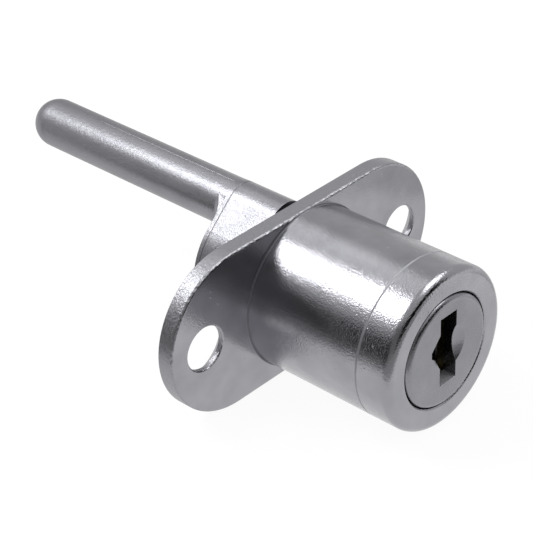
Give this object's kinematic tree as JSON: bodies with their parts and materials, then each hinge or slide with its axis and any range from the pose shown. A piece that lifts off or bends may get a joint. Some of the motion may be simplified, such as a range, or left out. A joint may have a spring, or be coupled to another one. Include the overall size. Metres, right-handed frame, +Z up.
{
  "type": "furniture lock",
  "caption": "Nickel-plated cylinder lock for furniture with a flat oval flange, a key plug, and a rear driver whose offset pin works a locking bar.",
  "frame": {"origin": "on the lock axis, in the plane of the flange's front face", "axes": "-Y along the lock axis towards the nose where the key goes in, +Y towards the drive pin's tip, X along the flange's length, +Z up, towards the drive pin at rest"},
  "size_m": [0.0392, 0.0588, 0.018],
  "materials": {
    "nickel_plated_zinc": "bright nickel plating on a die casting",
    "plug_nickel": "satin nickel plating",
    "wafer_brass": "stamped",
    "spring_steel": "drawn wire and strip"
  },
  "bodies": {
    "housing": {"housing": "nickel_plated_zinc"},
    "rotor": {"plug": "plug_nickel", "driver": "nickel_plated_zinc", "retaining_clip": "spring_steel", "wafer_spring_1": "spring_steel", "wafer_spring_2": "spring_steel", "wafer_spring_3": "spring_steel", "wafer_spring_4": "spring_steel", "wafer_spring_5": "spring_steel", "wafer_spring_6": "spring_steel", "wafer_spring_7": "spring_steel", "retaining_spring": "spring_steel"},
    "wafer_1": {"wafer_1": "wafer_brass"},
    "wafer_2": {"wafer_2": "wafer_brass"},
    "wafer_3": {"wafer_3": "wafer_brass"},
    "wafer_4": {"wafer_4": "wafer_brass"},
    "wafer_5": {"wafer_5": "wafer_brass"},
    "wafer_6": {"wafer_6": "wafer_brass"},
    "wafer_7": {"wafer_7": "wafer_brass"},
    "retaining_wafer": {"retaining_wafer": "wafer_brass"}
  },
  "joints": [
    {"name": "key_turn", "type": "hinge", "parent": "housing", "child": "rotor", "pos_m": [0, 0, 0], "axis": [0, 1, 0], "range_deg": [0, 180]},
    {"name": "wafer_1_slide", "type": "slide", "parent": "rotor", "child": "wafer_1", "axis": [0, 0, 1], "range_m": [0, 0.0011], "stiffness_N_per_m": 60, "deforming": ["wafer_spring_1"]},
    {"name": "wafer_2_slide", "type": "slide", "parent": "rotor", "child": "wafer_2", "axis": [0, 0, -1], "range_m": [0, 0.0011], "stiffness_N_per_m": 60, "deforming": ["wafer_spring_2"]},
    {"name": "wafer_3_slide", "type": "slide", "parent": "rotor", "child": "wafer_3", "axis": [0, 0, 1], "range_m": [0, 0.0011], "stiffness_N_per_m": 60, "deforming": ["wafer_spring_3"]},
    {"name": "wafer_4_slide", "type": "slide", "parent": "rotor", "child": "wafer_4", "axis": [0, 0, -1], "range_m": [0, 0.0011], "stiffness_N_per_m": 60, "deforming": ["wafer_spring_4"]},
    {"name": "wafer_5_slide", "type": "slide", "parent": "rotor", "child": "wafer_5", "axis": [0, 0, 1], "range_m": [0, 0.0011], "stiffness_N_per_m": 60, "deforming": ["wafer_spring_5"]},
    {"name": "wafer_6_slide", "type": "slide", "parent": "rotor", "child": "wafer_6", "axis": [0, 0, -1], "range_m": [0, 0.0011], "stiffness_N_per_m": 60, "deforming": ["wafer_spring_6"]},
    {"name": "wafer_7_slide", "type": "slide", "parent": "rotor", "child": "wafer_7", "axis": [0, 0, 1], "range_m": [0, 0.0011], "stiffness_N_per_m": 60, "deforming": ["wafer_spring_7"]},
    {"name": "retaining_wafer_slide", "type": "slide", "parent": "rotor", "child": "retaining_wafer", "axis": [0, 0, 1], "range_m": [-0.00095, 0], "stiffness_N_per_m": 60, "deforming": ["retaining_spring"]}
  ]
}
